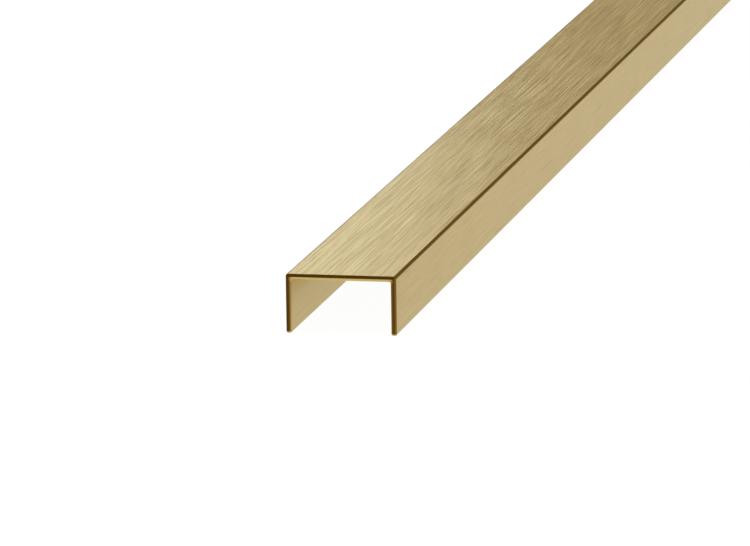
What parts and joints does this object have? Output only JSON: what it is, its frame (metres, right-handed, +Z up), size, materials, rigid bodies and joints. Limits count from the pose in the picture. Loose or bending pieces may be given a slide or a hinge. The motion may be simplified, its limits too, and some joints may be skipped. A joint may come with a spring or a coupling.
{
  "type": "aluminium channel profile",
  "caption": "Straight length of U-section channel, brushed gold anodised, with an open groove between its flanges that caps a board's edge.",
  "frame": {"origin": "middle of the length and of the width, level with the toes that the channel stands on", "axes": "+Y along the length, +Z up from the open side towards the web, +X across the web"},
  "size_m": [0.02, 1, 0.0107],
  "materials": {
    "gold_anodised": "pale gold anodised aluminium, brushed along its length, with dark bronze sawn ends and outer edges"
  },
  "bodies": {
    "root": {"channel_profile": "gold_anodised"}
  },
  "joints": []
}
